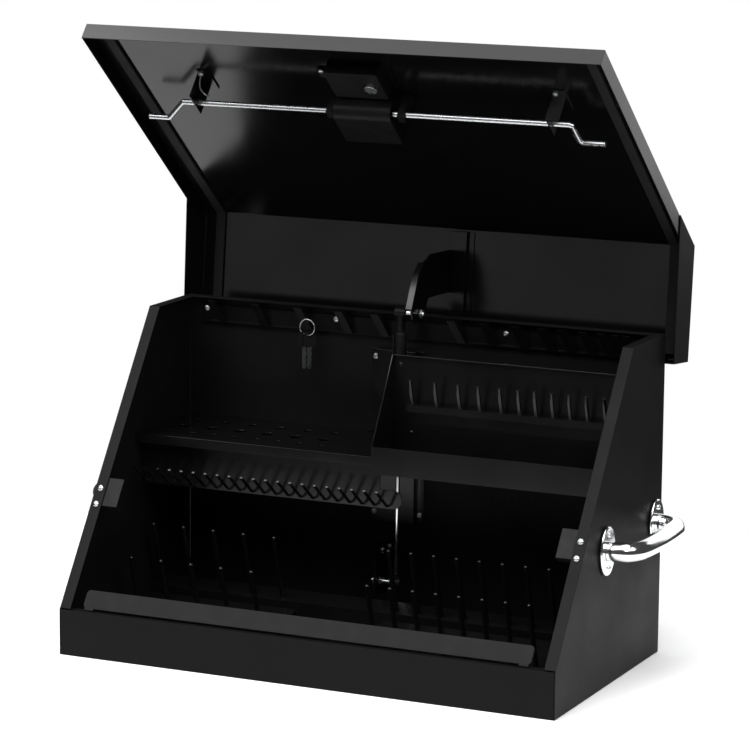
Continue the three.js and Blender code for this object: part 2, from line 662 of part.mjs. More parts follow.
function buildBody() {
  add(model, 'body_wrap', bodyWrap(), paint);
  add(model, 'side_panel_left', sidePanel(-1), paint);
  add(model, 'side_panel_right', sidePanel(1), paint);
  add(model, 'centre_post', centrePost(), gloss);
  add(model, 'wrench_rack', wrenchRack(), gloss);
  add(model, 'screwdriver_shelf', shelf(), gloss);
  add(model, 'plier_rack', pegRack(), gloss);
  add(model, 'tray', tray(), gloss);
  add(model, 'tray_peg_rail', trayRail(), gloss);
  add(model, 'tray_bracket', trayBracket(), gloss);
  add(model, 'bottom_rack_rear', bottomRack(-inside, inside, 113, 146, 122, [...row(-361, 49.8, 5),
    ...row(22, 35.6, 8)], floorTop, floorTop), gloss);
  add(model, 'bottom_rack_left', bottomRack(-inside, -126, 5, 93, 23, row(-347, 48.9, 5), floorTop, 22), gloss);
  add(model, 'bottom_rack_right', bottomRack(13, inside, 5, 93, 23, row(32, 35.4, 8), floorTop, 22), gloss);
  const slope = new THREE.Group();
  slope.position.set(0, 0, FRONT);
  slope.rotation.x = slopeAngle;
  model.add(slope);
  add(slope, 'front_rail', frontRail(), rubber);
  add(slope, 'strike_left', strike(-1), plastic);
  add(slope, 'strike_right', strike(1), plastic);
  for (const [name, s] of [['left', -1], ['right', 1]]) {
    add(model, `handle_${name}`, grip(s), chrome);
    add(model, `handle_foot_${name}_front`, rose(s, GRIP_Y[0]), chrome);
    add(model, `handle_foot_${name}_rear`, rose(s, GRIP_Y[1]), chrome);
  }
}

function buildHinge() {
  const [y, z] = hinge;
  const plateFront = DEPTH + GAP;
  add(model, 'hinge_spacer', block(-LEAF_X, LEAF_X, plateFront, plateFront + 6, z + 4, HEIGHT - 6), paint);
  add(model, 'hinge_leaf_body', leaf(y - 5.1, y - 2.7, z, HEIGHT - 8, 0), paint);
  add(model, 'hinge_pin', bar([-LEAF_X, y, z], [LEAF_X, y, z], 4, 12), steel);
}

function buildStrut() {
  const foot = [STRUT_X, ...STRUT_FOOT];
  const top = [STRUT_X, ...STRUT_TOP];
  const axis = new THREE.Vector3(...top).sub(new THREE.Vector3(...foot)).normalize();
  const along = (from, d) => new THREE.Vector3(...from).addScaledVector(axis, d).toArray();
  const socket = (at) => bar([STRUT_X - 8, at[1], at[2]], [STRUT_X + 8, at[1], at[2]], 15, 14);
  const rodTop = along(top, -CAP - TUBE_LENGTH + 60);
  add(model, 'strut_rod', bar(along(foot, 14 + GAP), rodTop, ROD_D, 14), chrome);
  add(model, 'strut_socket_lower', joined(socket(foot), bar(along(foot, 4), along(foot, 14), 12, 12)), plastic);
  const tube = bar(along(top, -CAP - TUBE_LENGTH), along(top, -CAP - GAP), TUBE_D, 18);
  const bore = bar(along(top, -CAP - TUBE_LENGTH - 4), along(top, -CAP - 8), ROD_D + 1, 14);
  add(model, 'strut_tube', cut(tube, bore), plastic);
  add(model, 'strut_socket_upper', joined(socket(top), bar(along(top, -CAP), along(top, -4), 12, 12)), plastic);
  const plateX = STRUT_X - 30;
  const bracket = folded([[plateX - 14, backFace], [plateX + 3, backFace], [plateX + 3, STRUT_FOOT[0] - 14]], -3);
  add(model, 'strut_bracket', cut(prismZ(bracket, 48, 126),
    bar([plateX - 10, ...STRUT_FOOT], [plateX + 10, ...STRUT_FOOT], STUD_D + 2 * GAP, 12)), gloss);
  add(model, 'strut_stud_lower', stud(STRUT_X - 8 - GAP, [plateX + 3, plateX], STRUT_FOOT), zinc);
}

function buildLid() {
  const lid = new THREE.Group();
  lid.position.set(0, ...hinge);
  lid.rotation.x = -openAngle;
  model.add(lid);
  const shutLid = new THREE.Group();
  shutLid.position.set(0, -hinge[0], -hinge[1]);
  lid.add(shutLid);
  const [y, z] = hinge;
  add(shutLid, 'lid_skin', lidSkin(), gloss);
  for (const [name, s] of [['left', -1], ['right', 1]]) {
    add(shutLid, `lid_side_${name}`, lidSide(s), paint);
    add(shutLid, `lid_seal_${name}`, lidStrip(s * 358, s * 373, 4), rubber);
    add(shutLid, `lid_strip_${name}`, lidStrip(s * 373.3, s * (lidInner - SHEET - GAP), 1.5), gloss);
  }
  add(shutLid, 'lid_stiffener', lidStiffener(), gloss);
  add(shutLid, 'lid_arm', lidArm(), gloss);
  add(shutLid, 'strut_stud_upper', stud(STRUT_X + 8 + GAP, [ARM_X, ARM_X + 3], shut(STRUT_TOP)), zinc);
  add(shutLid, 'hinge_leaf_lid', leaf(y + 2.7, y + LID_BACK - SHEET - GAP, z, z + 26, 1), paint);
  const slope = new THREE.Group();
  slope.position.set(0, ...bend);
  slope.rotation.x = Math.PI + slopeAngle;
  shutLid.add(slope);
  add(slope, 'latch_pan', latchPan(), plastic);
  add(slope, 'latch_ear', latchEars(), plastic);
  add(slope, 'latch_paddle', paddle(), chrome);
  const pinReach = 38 - GAP;
  const pin = bar([LATCH_X - pinReach, LATCH_S - 21, 3.5], [LATCH_X + pinReach, LATCH_S - 21, 3.5], 3, 10);
  add(slope, 'paddle_pin', pin, steel);
  add(slope, 'lock_cylinder', bar([LATCH_X + 24, LATCH_S, 3], [LATCH_X + 24, LATCH_S, 28], 18, 16), zinc);
  add(slope, 'latch_cover', latchCover(), plastic);
  add(slope, 'latch_crank', latchCrank(), zinc);
  for (const [name, s] of [['left', -1], ['right', 1]]) {
    add(slope, `latch_bar_${name}`, latchBar(s), zinc);
    add(slope, `bar_post_${name}`, barPost(s), zinc);
    add(slope, `bar_guide_${name}`, barGuide(s), gloss);
  }
  add(slope, 'guide_spring', guideSpring(), steel);
}

function buildKeys() {
  add(model, 'key_ring', keyRing(), zinc);
  add(model, 'key_left', key(-0.35), plastic);
  add(model, 'key_right', key(0.35), plastic);
}

buildBody();
buildHinge();
buildStrut();
buildLid();
buildKeys();

export default part;
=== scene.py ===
"""Slant-front tool box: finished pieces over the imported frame, with its stage and camera."""
import json
import math

import bmesh
import bpy
from mathutils import Matrix, Vector


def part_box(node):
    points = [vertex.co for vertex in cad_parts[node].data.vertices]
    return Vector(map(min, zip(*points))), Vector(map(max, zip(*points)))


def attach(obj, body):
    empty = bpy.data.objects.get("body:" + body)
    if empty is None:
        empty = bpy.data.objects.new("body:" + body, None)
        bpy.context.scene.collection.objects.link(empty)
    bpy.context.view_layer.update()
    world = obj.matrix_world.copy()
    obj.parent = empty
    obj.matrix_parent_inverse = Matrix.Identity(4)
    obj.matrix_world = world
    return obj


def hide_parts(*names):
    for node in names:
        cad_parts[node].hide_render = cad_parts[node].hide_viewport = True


bl_info = {
    "name": "Slant-front tool box",
    "version": (1, 0, 0),
    "blender": (4, 5, 0),
    "location": "View3D > Sidebar > Tool box",
    "description": "Finished sheet-steel tool box with its lid held open",
    "category": "Add Mesh",
}

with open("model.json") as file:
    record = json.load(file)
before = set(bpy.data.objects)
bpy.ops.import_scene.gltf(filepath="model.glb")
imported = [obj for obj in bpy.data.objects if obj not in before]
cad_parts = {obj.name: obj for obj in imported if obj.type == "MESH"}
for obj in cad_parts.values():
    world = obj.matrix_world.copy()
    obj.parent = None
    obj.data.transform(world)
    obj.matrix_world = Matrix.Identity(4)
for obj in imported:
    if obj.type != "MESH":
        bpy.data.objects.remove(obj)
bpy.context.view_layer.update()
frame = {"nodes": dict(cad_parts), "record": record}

MM = 0.001
DEPTH = 0.400                   # depth of the body; y runs from -DEPTH / 2 to DEPTH / 2
HEIGHT = 0.465                  # height of the body at its flat top
FRONT = 0.066                   # height of the front wall
SLOPE_RUN = 0.273               # depth that the slope takes up
SLOPE = math.atan2(HEIGHT - FRONT, SLOPE_RUN)
SIDE_FACE = 0.381               # x of the right side panel's outer face
LID_ANGLE = math.radians(95.6)  # how far the lid stands open
HINGE = Vector((0, 0.212, 0.429))
LID_BEND = Vector((0, 0.0535, 0.480))   # bend of the lid's skin with the lid shut
BED_LEAN = math.radians(17.4)   # lean of the bottom racks
BED_Y = -0.040                  # where distances along the racks' bed start
BED_Z = 0.0105
PEG_LENGTH = 0.099

MERGE_DISTANCE = 2e-6           # corners closer than this are one
FLAT_ANGLE = math.radians(0.6)  # faces that turn less than this are one
EDGE_ANGLE = math.radians(30)   # edges that turn more than this are broken

# Rows of pegs on the bottom racks: each run's first x, spacing and number, and the row's place up the bed.
PEG_ROWS = (
    ("rear", ((-0.361, 0.0498, 5), (0.022, 0.0356, 8)), 0.122),
    ("left", ((-0.347, 0.0489, 5),), 0.023),
    ("right", ((0.032, 0.0354, 8),), 0.023),
)

# Gas strut, rod below and tube above: its ball centres, and the tube's length, radius and upper end.
STRUT_FOOT = Vector((-0.011, 0.147, 0.070))
STRUT_TOP = Vector((-0.011, 0.156, 0.472))
TUBE_LENGTH = 0.214
TUBE_RADIUS = 0.0086
TUBE_DROP = 0.028               # distance from the upper ball down to the tube

RING_RADIUS = 0.012
RING_WIRE = 0.9 * MM            # radius of the ring's wire
RING_TURNS = 48
KEY_SPREAD = 0.35               # each key's place round the ring from its lowest point, in radians
KEY_TWIST = math.radians(40)    # how far the keys face round from the front

# Places of screws and rivets, as x and z unless said otherwise.
STRIKE_X = 0.372
STRIKE_UP = (0.165, 0.190)      # distances up the slope
RACK_SCREW_Y = 0.1962
RACK_SCREWS = ((-0.349, 0.446), (-0.134, 0.446), (0.138, 0.446), (0.335, 0.446))
POST_SCREW_Y = 0.1967
POST_SCREWS = ((-0.069, 0.396), (-0.069, 0.162), (0.003, 0.162))
TRAY_RIVET_Y = 0.0795
TRAY_RIVETS = ((0.0235, 0.410), (0.365, 0.410), (0.041, 0.312))
FOOT_FACE = 0.3865              # x of a handle foot's outer face
FOOT_Y = (-0.022, 0.172)
FOOT_Z = 0.196
FOOT_SCREW_RISE = 0.0235        # each foot's screws above and below its middle
BRACKET_FACE = -0.038
BRACKET_SCREWS = ((0.157, 0.114), (0.182, 0.114), (0.182, 0.062))       # y and z
LID_SCREWS = ((-0.051, 0.404, 5 * MM), (-0.251, 0.378, 4 * MM), (0.291, 0.378, 4 * MM))     # as on_lid

FLOOR_RADIUS = 1.0
FLOOR_SIDES = 96
FLOOR_DROP = 0.5 * MM           # the floor lies this far under the box

LENS = 168.7
SENSOR = 36
FARTHEST = 50
CAMERA_PLACE = Vector((2.0557, -4.4386, 1.3183))
CAMERA_AZIMUTH = -24.644
CAMERA_ELEVATION = 10.564
CAMERA_ROLL = 0.541

WORLD_SEEN = 1.0                # strength of the white background as the camera sees it
WORLD_LIT = 0.05                # strength with which it lights the box and shows in its gloss
SKY_STRENGTH = 3.7
SKY_ANGLE = math.radians(70)
SKY_TILT = (math.radians(14), math.radians(-10), 0)

# Soft boxes: name, place, point that it faces, width, height and power.
SOFT_BOXES = (
    ("top_front", (-0.9, -1.7, 2.5), (0.1, 0, 0.3), 2.8, 1.5, 48),
    ("top_right", (2.1, -1.0, 2.0), (0.4, 0, 0.2), 2.4, 1.4, 40),
    ("back_panel", (0.5, 3.6, 1.15), (0.3, 0, 0.3), 3.6, 2.2, 30),
    ("horizon_left", (-1.75, -3.6, 0.66), (0.1, 0.27, 0.53), 2.8, 0.55, 3.4),
)

BEHAVIOUR = frame["record"]["behaviour"]["bodies"]
BODY_OF = {node: body for body, nodes in BEHAVIOUR.items() for node in nodes}
SLOT_OF = {row["node"]: row["material_slot"] for row in frame["record"]["subparts"]}


# ------------------------------------------------------------------ sizes and colours

def colour(code):
    """Linear colour from an sRGB hex value such as "1a1b1c"."""
    channels = [int(code[i:i + 2], 16) / 255 for i in (0, 2, 4)]
    linear = [c / 12.92 if c <= 0.04045 else ((c + 0.055) / 1.055) ** 2.4 for c in channels]
    return (*linear, 1.0)


def tint(name, code, about):
    """A colour setting of the panel."""
    return bpy.props.FloatVectorProperty(
        name=name, description=about, subtype="COLOR", size=4, min=0, max=1, default=colour(code))


class ToolBoxFinish(bpy.types.PropertyGroup):
    """Colours of the finishes."""
    coat: tint("Powder coat", "0e0e0e", "Satin black on the outside of the shell")
    enamel: tint("Enamel", "090909", "Glossier black inside the lid and on the racks")
    rubber: tint("Rubber", "141415", "Seals and the front rail")
    moulding: tint("Moulding", "0a0a0a", "Black nylon of latch, strut, strikes and key heads")
    chrome: tint("Chrome", "eeeff0", "Grab handles, paddle and strut rod")
    zinc: tint("Zinc", "c2c4c6", "Screws, latch bars, studs and key ring")
    nickel: tint("Nickel", "5c5d5e", "Key blades, dulled by use")
    floor: tint("Floor", "ffffff", "Plain studio floor")


class ToolBoxSizes(bpy.types.PropertyGroup):
    """Sizes of the finishing detail."""
    edge: bpy.props.FloatProperty(
        name="Sheet edge", description="Radius broken on the edges of the sheet",
        subtype="DISTANCE", unit="LENGTH", default=0.5 * MM, min=0.1 * MM, max=0.7 * MM)
    screw: bpy.props.FloatProperty(
        name="Screw head", description="Diameter of a pan-head screw",
        subtype="DISTANCE", unit="LENGTH", default=9.5 * MM, min=4 * MM, max=14 * MM)
    rivet: bpy.props.FloatProperty(
        name="Rivet head", description="Diameter of a blind rivet's head",
        subtype="DISTANCE", unit="LENGTH", default=7 * MM, min=3 * MM, max=10 * MM)
    peg: bpy.props.FloatProperty(
        name="Peg", description="Diameter of the pegs on the bottom racks",
        subtype="DISTANCE", unit="LENGTH", default=7 * MM, min=4 * MM, max=9 * MM)
    grip: bpy.props.FloatProperty(
        name="Grab handle", description="Diameter of the grab handle's bar",
        subtype="DISTANCE", unit="LENGTH", default=28 * MM, min=18 * MM, max=30 * MM)


# ------------------------------------------------------------------ materials

def add_node(tree, kind, inputs=None, **settings):
    """A node with its settings; an input is a value or another node's output."""
    made = tree.nodes.new(kind)
    for name, value in settings.items():
        setattr(made, name, value)
    for name, value in (inputs or {}).items():
        socket = made.inputs[name]
        if isinstance(value, bpy.types.NodeSocket):
            tree.links.new(value, socket)
        else:
            socket.default_value = value
    return made


FINISHES = {}


def finish(name, base, light, rough, patch, grain, depth, stretch=(1, 1, 1), **shader):
    """A procedural finish.

    base and light are its darkest and lightest colours, mixed in soft patches of that size. rough is
    the range of its roughness over the same patches. grain and depth are the size of its surface
    texture, in metres, and stretch draws the grain out along an axis.
    """
    if name in FINISHES:
        return FINISHES[name]
    material = bpy.data.materials.new(name)
    material.use_nodes = True
    tree = material.node_tree
    tree.nodes.clear()
    place = add_node(tree, "ShaderNodeTexCoord").outputs["Object"]
    drawn = add_node(tree, "ShaderNodeMapping", {"Vector": place, "Scale": stretch}).outputs["Vector"]
    patches = add_node(tree, "ShaderNodeTexNoise", {
        "Vector": place, "Scale": 1 / patch, "Detail": 3.0, "Roughness": 0.55}).outputs["Fac"]
    fine = add_node(tree, "ShaderNodeTexNoise", {
        "Vector": drawn, "Scale": 1 / grain, "Detail": 2.0, "Roughness": 0.5}).outputs["Fac"]
    mixed = add_node(tree, "ShaderNodeMix", {"Factor": patches}, data_type="RGBA")
    mixed.inputs[6].default_value = base
    mixed.inputs[7].default_value = light
    spread = add_node(tree, "ShaderNodeMapRange", {
        "Value": patches, "From Min": 0.3, "From Max": 0.7, "To Min": rough[0], "To Max": rough[1]})
    bump = add_node(tree, "ShaderNodeBump", {"Height": fine, "Strength": 1.0, "Distance": depth})
    settings = {"Base Color": mixed.outputs[2], "Roughness": spread.outputs["Result"],
                "Normal": bump.outputs["Normal"], **shader}
    surface = add_node(tree, "ShaderNodeBsdfPrincipled", settings)
    add_node(tree, "ShaderNodeOutputMaterial", {"Surface": surface.outputs["BSDF"]})
    material.diffuse_color = base
    FINISHES[name] = material
    return material


def lighter(shade, by):
    """The same colour with each channel raised, for the light end of a mixed finish."""
    return (*(min(1.0, c * by + 0.0006) for c in shade[:3]), 1.0)


def powder_coat():
    """Polyester powder coat, sprayed and baked: an even satin skin with a fine orange peel."""
    shade = bpy.context.scene.tool_box_finish.coat
    return finish("powder_coat_satin_black", shade, lighter(shade, 1.5), (0.40, 0.50), 0.09,
                  1.6 * MM, 0.012 * MM, **{"Specular IOR Level": 0.07})


def enamel():
    """Baked enamel on rolled sheet: glossier, so it mirrors a softened picture of what is before it."""
    shade = bpy.context.scene.tool_box_finish.enamel
    return finish("baked_enamel_gloss_black", shade, lighter(shade, 1.3), (0.16, 0.22), 0.12,
                  2.4 * MM, 0.010 * MM, **{"Specular IOR Level": 0.30})


def rubber():
    """Sponge rubber strip: dull, with small open pores."""
    shade = bpy.context.scene.tool_box_finish.rubber
    return finish("sponge_rubber_black", shade, lighter(shade, 1.6), (0.75, 0.9), 0.03,
                  1.0 * MM, 0.10 * MM, **{"Specular IOR Level": 0.25})


def moulding():
    """Injection-moulded nylon with a spark-eroded grain: a soft, slightly grey sheen."""
    shade = bpy.context.scene.tool_box_finish.moulding
    return finish("moulded_nylon_black", shade, lighter(shade, 1.7), (0.42, 0.55), 0.02,
                  0.7 * MM, 0.03 * MM, **{"Specular IOR Level": 0.15})


def chrome():
    """Bright chrome plate over polished tube: nearly a mirror, with a trace of buffing haze."""
    shade = bpy.context.scene.tool_box_finish.chrome
    return finish("bright_chrome_plate", shade, lighter(shade, 1.05), (0.12, 0.18), 0.03,
                  3.0 * MM, 0.004 * MM, Metallic=1.0)


def zinc():
    """Zinc-plated steel, tumbled: a pale metal with a fine drawn grain along its length."""
    shade = bpy.context.scene.tool_box_finish.zinc
    return finish("zinc_plated_steel", shade, lighter(shade, 1.12), (0.22, 0.34), 0.01,
                  0.8 * MM, 0.008 * MM, stretch=(0.1, 1, 1), Metallic=1.0)


def nickel():
    """Nickel-plated brass that has been handled: a greyer metal with fine random scratches."""
    shade = bpy.context.scene.tool_box_finish.nickel
    return finish("dull_nickel_plate", shade, lighter(shade, 1.5), (0.26, 0.42), 0.006,
                  0.5 * MM, 0.012 * MM, stretch=(1, 1, 0.2), Metallic=1.0)


def floor_paint():
    """Matt white studio floor."""
    shade = bpy.context.scene.tool_box_finish.floor
    return finish("studio_floor_matt_white", shade, shade, (0.85, 0.9), 0.5, 4 * MM, 0.01 * MM,
                  **{"Specular IOR Level": 0.1})


# ------------------------------------------------------------------ making pieces

def linked(name, data):
    """A new object in the scene for a mesh, a light or a camera."""
    piece = bpy.data.objects.new(name, data)
    bpy.context.scene.collection.objects.link(piece)
    return piece


def applied(piece):
    """The piece with its modifiers turned into plain mesh."""
    bpy.context.view_layer.update()
    seen = piece.evaluated_get(bpy.context.evaluated_depsgraph_get())
    mesh = bpy.data.meshes.new_from_object(seen)
    piece.modifiers.clear()
    piece.data = mesh
    return mesh


def baked(piece, smooth=40.0):
    """The piece as plain mesh, smooth up to that angle, in degrees, with its large faces shaded flat."""
    mesh = applied(piece)
    mesh.shade_smooth()
    mesh.set_sharp_from_angle(angle=math.radians(smooth))
    weigh = piece.modifiers.new("flat_faces", "WEIGHTED_NORMAL")
    weigh.mode = "FACE_AREA"
    weigh.weight = 100
    weigh.keep_sharp = True
    applied(piece)
    return piece


def bevelled(piece, width, segments=2):
    """Rounds the piece's sharp edges."""
    modifier = piece.modifiers.new("edges", "BEVEL")
    modifier.width = width
    modifier.segments = segments
    modifier.limit_method = "ANGLE"
    modifier.angle_limit = EDGE_ANGLE
    modifier.use_clamp_overlap = True
    modifier.harden_normals = False
    return piece


def settle(piece, material, body, slot, *nodes):
    """Gives a piece its finish, puts it on its body, and hides the CAD nodes that it stands for. slot is
    not used.
    """
    piece.data.materials.clear()
    piece.data.materials.append(material)
    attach(piece, body)
    if nodes:
        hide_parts(*nodes)
    return piece


def dressed(node, material, width, segments=2):
    """A copy of a CAD node with its edges broken, standing for the node."""
    mesh = frame["nodes"][node].data.copy()
    form = bmesh.new()
    form.from_mesh(mesh)
    bmesh.ops.remove_doubles(form, verts=form.verts, dist=MERGE_DISTANCE)
    bmesh.ops.dissolve_limit(form, angle_limit=FLAT_ANGLE, verts=form.verts, edges=form.edges)
    form.to_mesh(mesh)
    form.free()
    piece = bevelled(linked(node + "_finished", mesh), width, segments)
    baked(piece)
    return settle(piece, material, BODY_OF[node], SLOT_OF[node], node)


def mesh_of(name, vertices, faces):
    """A mesh from plain lists, with its faces turned outwards."""
    mesh = bpy.data.meshes.new(name)
    mesh.from_pydata([tuple(v) for v in vertices], [], faces)
    form = bmesh.new()
    form.from_mesh(mesh)
    bmesh.ops.recalc_face_normals(form, faces=form.faces)
    form.to_mesh(mesh)
    form.free()
    return mesh


def tube_faces(rings, sides):
    """Faces of a tube of that many rings of vertices, with both ends closed."""
    faces = [list(range(sides)), list(range((rings - 1) * sides, rings * sides))]
    for i in range(rings - 1):
        for k in range(sides):
            a = i * sides + k
            b = i * sides + (k + 1) % sides
            faces.append([a, b, b + sides, a + sides])
    return faces


def swept(name, line, radius, sides):
    """Round bar along a line of points, with flat ends."""
    vertices = []
    ahead = (line[1] - line[0]).normalized()
    across = ahead.orthogonal().normalized()
    for i, point in enumerate(line):
        before = line[max(i - 1, 0)]
        after = line[min(i + 1, len(line) - 1)]
        heading = (after - before).normalized()
        across = (ahead.rotation_difference(heading) @ across).normalized()
        ahead = heading
        other = ahead.cross(across)
        for k in range(sides):
            a = 2 * math.pi * k / sides
            vertices.append(point + radius * (math.cos(a) * across + math.sin(a) * other))
    return mesh_of(name, vertices, tube_faces(len(line), sides))


def turned(name, start, axis, profile, sides=32):
    """Lathe-turned mesh: profile is a list of (distance along the axis, radius)."""
    axis = axis.normalized()
    line = [start + axis * along for along, _ in profile]
    side = axis.orthogonal().normalized()
    other = axis.cross(side)
    vertices = []
    for point, (_, radius) in zip(line, profile):
        for k in range(sides):
            a = 2 * math.pi * k / sides
            vertices.append(point + max(radius, 1e-5) * (math.cos(a) * side + math.sin(a) * other))
    return mesh_of(name, vertices, tube_faces(len(line), sides))


# ------------------------------------------------------------------ places on the turned panels

def on_slope(x, up, out):
    """Point on the body's slope: x, distance up the slope from the front wall's top, height above it."""
    return Vector((x, -DEPTH / 2 + up * math.cos(SLOPE) - out * math.sin(SLOPE),
                   FRONT + up * math.sin(SLOPE) + out * math.cos(SLOPE)))


def on_lid(x, down, deep):
    """Point on the open lid's slope panel: x, distance from the bend, depth inwards from the skin."""
    y = LID_BEND.y - down * math.cos(SLOPE) + deep * math.sin(SLOPE)
    z = LID_BEND.z - down * math.sin(SLOPE) - deep * math.cos(SLOPE)
    shut = Vector((x, y, z)) - HINGE
    return Matrix.Rotation(-LID_ANGLE, 3, "X") @ shut + HINGE


def on_bed(x, along, high):
    """Point over the leaning bed of the bottom racks."""
    return Vector((x, BED_Y + along * math.cos(BED_LEAN) - high * math.sin(BED_LEAN),
                   BED_Z + along * math.sin(BED_LEAN) + high * math.cos(BED_LEAN)))


# ------------------------------------------------------------------ what repeats

def copies_tree():
    """Geometry nodes: one copy of a shape on each point, turned to face an axis, in one finish."""
    tree = bpy.data.node_groups.new("copies_on_points", "GeometryNodeTree")
    face = tree.interface
    face.new_socket("Points", in_out="INPUT", socket_type="NodeSocketGeometry")
    face.new_socket("Shape", in_out="INPUT", socket_type="NodeSocketObject")
    face.new_socket("Facing", in_out="INPUT", socket_type="NodeSocketVector")
    face.new_socket("Size", in_out="INPUT", socket_type="NodeSocketFloat")
    face.new_socket("Spread", in_out="INPUT", socket_type="NodeSocketFloat")
    face.new_socket("Finish", in_out="INPUT", socket_type="NodeSocketMaterial")
    face.new_socket("Copies", in_out="OUTPUT", socket_type="NodeSocketGeometry")
    given = add_node(tree, "NodeGroupInput").outputs
    shape = add_node(tree, "GeometryNodeObjectInfo", {"Object": given["Shape"], "As Instance": True})
    facing = add_node(tree, "FunctionNodeAlignEulerToVector", {"Vector": given["Facing"]}, axis="Z")
    turn = add_node(tree, "FunctionNodeRandomValue", {"Seed": 7}, data_type="FLOAT")
    turn.inputs[2].default_value = -1.0
    turn.inputs[3].default_value = 1.0
    angle = add_node(tree, "ShaderNodeMath", {0: turn.outputs[1], 1: given["Spread"]}, operation="MULTIPLY")
    spin = add_node(tree, "ShaderNodeCombineXYZ", {"Z": angle.outputs[0]})
    rotation = add_node(tree, "FunctionNodeRotateEuler", {
        "Rotation": facing.outputs[0], "Rotate By": spin.outputs[0]}, space="LOCAL")
    placed = add_node(tree, "GeometryNodeInstanceOnPoints", {
        "Points": given["Points"], "Instance": shape.outputs["Geometry"],
        "Rotation": rotation.outputs[0], "Scale": given["Size"]})
    real = add_node(tree, "GeometryNodeRealizeInstances", {"Geometry": placed.outputs[0]})
    painted = add_node(tree, "GeometryNodeSetMaterial", {
        "Geometry": real.outputs[0], "Material": given["Finish"]})
    add_node(tree, "NodeGroupOutput", {"Copies": painted.outputs[0]})
    return tree


TREES = {}


def copies(name, shape, points, facing, size, material, body, slot, spread=0.0):
    """A piece made of copies of a shape on points. Each copy's own +Z faces the given way."""
    if "copies" not in TREES:
        TREES["copies"] = copies_tree()
    tree = TREES["copies"]
    mesh = bpy.data.meshes.new(name)
    mesh.from_pydata([tuple(p) for p in points], [], [])
    piece = linked(name, mesh)
    modifier = piece.modifiers.new("copies", "NODES")
    modifier.node_group = tree
    values = {"Shape": shape, "Facing": tuple(facing), "Size": size, "Spread": spread, "Finish": material}
    for item in tree.interface.items_tree:
        if item.in_out == "INPUT" and item.name in values:
            modifier[item.identifier] = values[item.name]
    baked(piece, 35.0)
    return settle(piece, material, body, slot)


def spun_shape(name, profile, sides):
    """A small shape of unit size for copying, turned about +Z."""
    return turned(name, Vector((0, 0, 0)), Vector((0, 0, 1)), profile, sides)


def screw_shape():
    """Pan-head screw of unit diameter with a cross recess, its seat at the origin."""
    head = [(0.0, 0.5), (0.12, 0.5), (0.22, 0.46), (0.30, 0.36), (0.34, 0.22), (0.34, 0.16)]
    piece = linked("screw_head", spun_shape("screw_head", head, 20))
    cross = bmesh.new()
    for turn in (0, math.pi / 2):
        size = Matrix.Diagonal((0.46, 0.10, 0.30, 1.0))
        place = Matrix.Translation((0, 0, 0.33)) @ Matrix.Rotation(turn, 4, "Z") @ size
        bmesh.ops.create_cube(cross, size=1.0, matrix=place)
    cutter_mesh = bpy.data.meshes.new("cross_cutter")
    cross.to_mesh(cutter_mesh)
    cross.free()
    cutter = linked("cross_cutter", cutter_mesh)
    recess = piece.modifiers.new("recess", "BOOLEAN")
    recess.operation = "DIFFERENCE"
    recess.solver = "EXACT"
    recess.use_self = True
    recess.object = cutter
    baked(piece, 35.0)
    bpy.data.objects.remove(cutter)
    return piece


def rivet_shape():
    """Blind rivet's dome of unit diameter with the small dimple of its mandrel."""
    dome = [(0.0, 0.5), (0.06, 0.5), (0.16, 0.44), (0.24, 0.32), (0.27, 0.18), (0.27, 0.14), (0.20, 0.12)]
    return linked("rivet_head", spun_shape("rivet_head", dome, 20))


def tip_shape():
    """Rounded tip for a peg of unit diameter."""
    dome = [(-0.05, 0.515), (0.05, 0.515)]
    for step in range(1, 6):
        a = step * math.pi / 12
        dome.append((0.05 + 0.45 * math.sin(a), 0.515 * math.cos(a)))
    dome.append((0.5, 0.02))
    return linked("peg_tip", spun_shape("peg_tip", dome, 16))


# ------------------------------------------------------------------ operators

class TOOLBOX_OT_shell(bpy.types.Operator):
    """Finish the shell: wrap, side panels, hinge and its bar"""
    bl_idname = "toolbox.shell"
    bl_label = "Shell"

    def execute(self, context):
        edge = context.scene.tool_box_sizes.edge
        for node in ("body_wrap", "side_panel_left", "side_panel_right", "hinge_spacer"):
            dressed(node, powder_coat(), edge)
        for node in ("hinge_leaf_body", "hinge_leaf_lid"):
            dressed(node, powder_coat(), 0.3 * MM, 1)
        dressed("hinge_pin", zinc(), 0.4 * MM)
        return {"FINISHED"}


class TOOLBOX_OT_racks(bpy.types.Operator):
    """Finish the racks, the shelf, the tray and the rails inside"""
    bl_idname = "toolbox.racks"
    bl_label = "Racks and tray"

    def execute(self, context):
        edge = context.scene.tool_box_sizes.edge
        dressed("wrench_rack", enamel(), 0.9 * MM, 3)
        for node in ("centre_post", "screwdriver_shelf", "plier_rack", "tray", "tray_peg_rail",
                     "tray_bracket", "bottom_rack_rear", "bottom_rack_left", "bottom_rack_right",
                     "strut_bracket"):
            dressed(node, enamel(), edge)
        dressed("front_rail", rubber(), 1.2 * MM, 3)
        for node in ("strike_left", "strike_right"):
            dressed(node, moulding(), 0.6 * MM)
        return {"FINISHED"}


class TOOLBOX_OT_peg_tips(bpy.types.Operator):
    """Put rounded tips on the pegs of the bottom racks"""
    bl_idname = "toolbox.peg_tips"
    bl_label = "Peg tips"

    def execute(self, context):
        shape = tip_shape()
        up = Vector((0, -math.sin(BED_LEAN), math.cos(BED_LEAN)))
        size = context.scene.tool_box_sizes.peg
        for name, runs, along in PEG_ROWS:
            points = [on_bed(first + pitch * i, along, PEG_LENGTH)
                      for first, pitch, count in runs for i in range(count)]
            copies(f"peg_tips_{name}", shape, points, up, size, enamel(), "box", "black_paint")
        bpy.data.objects.remove(shape)
        return {"FINISHED"}


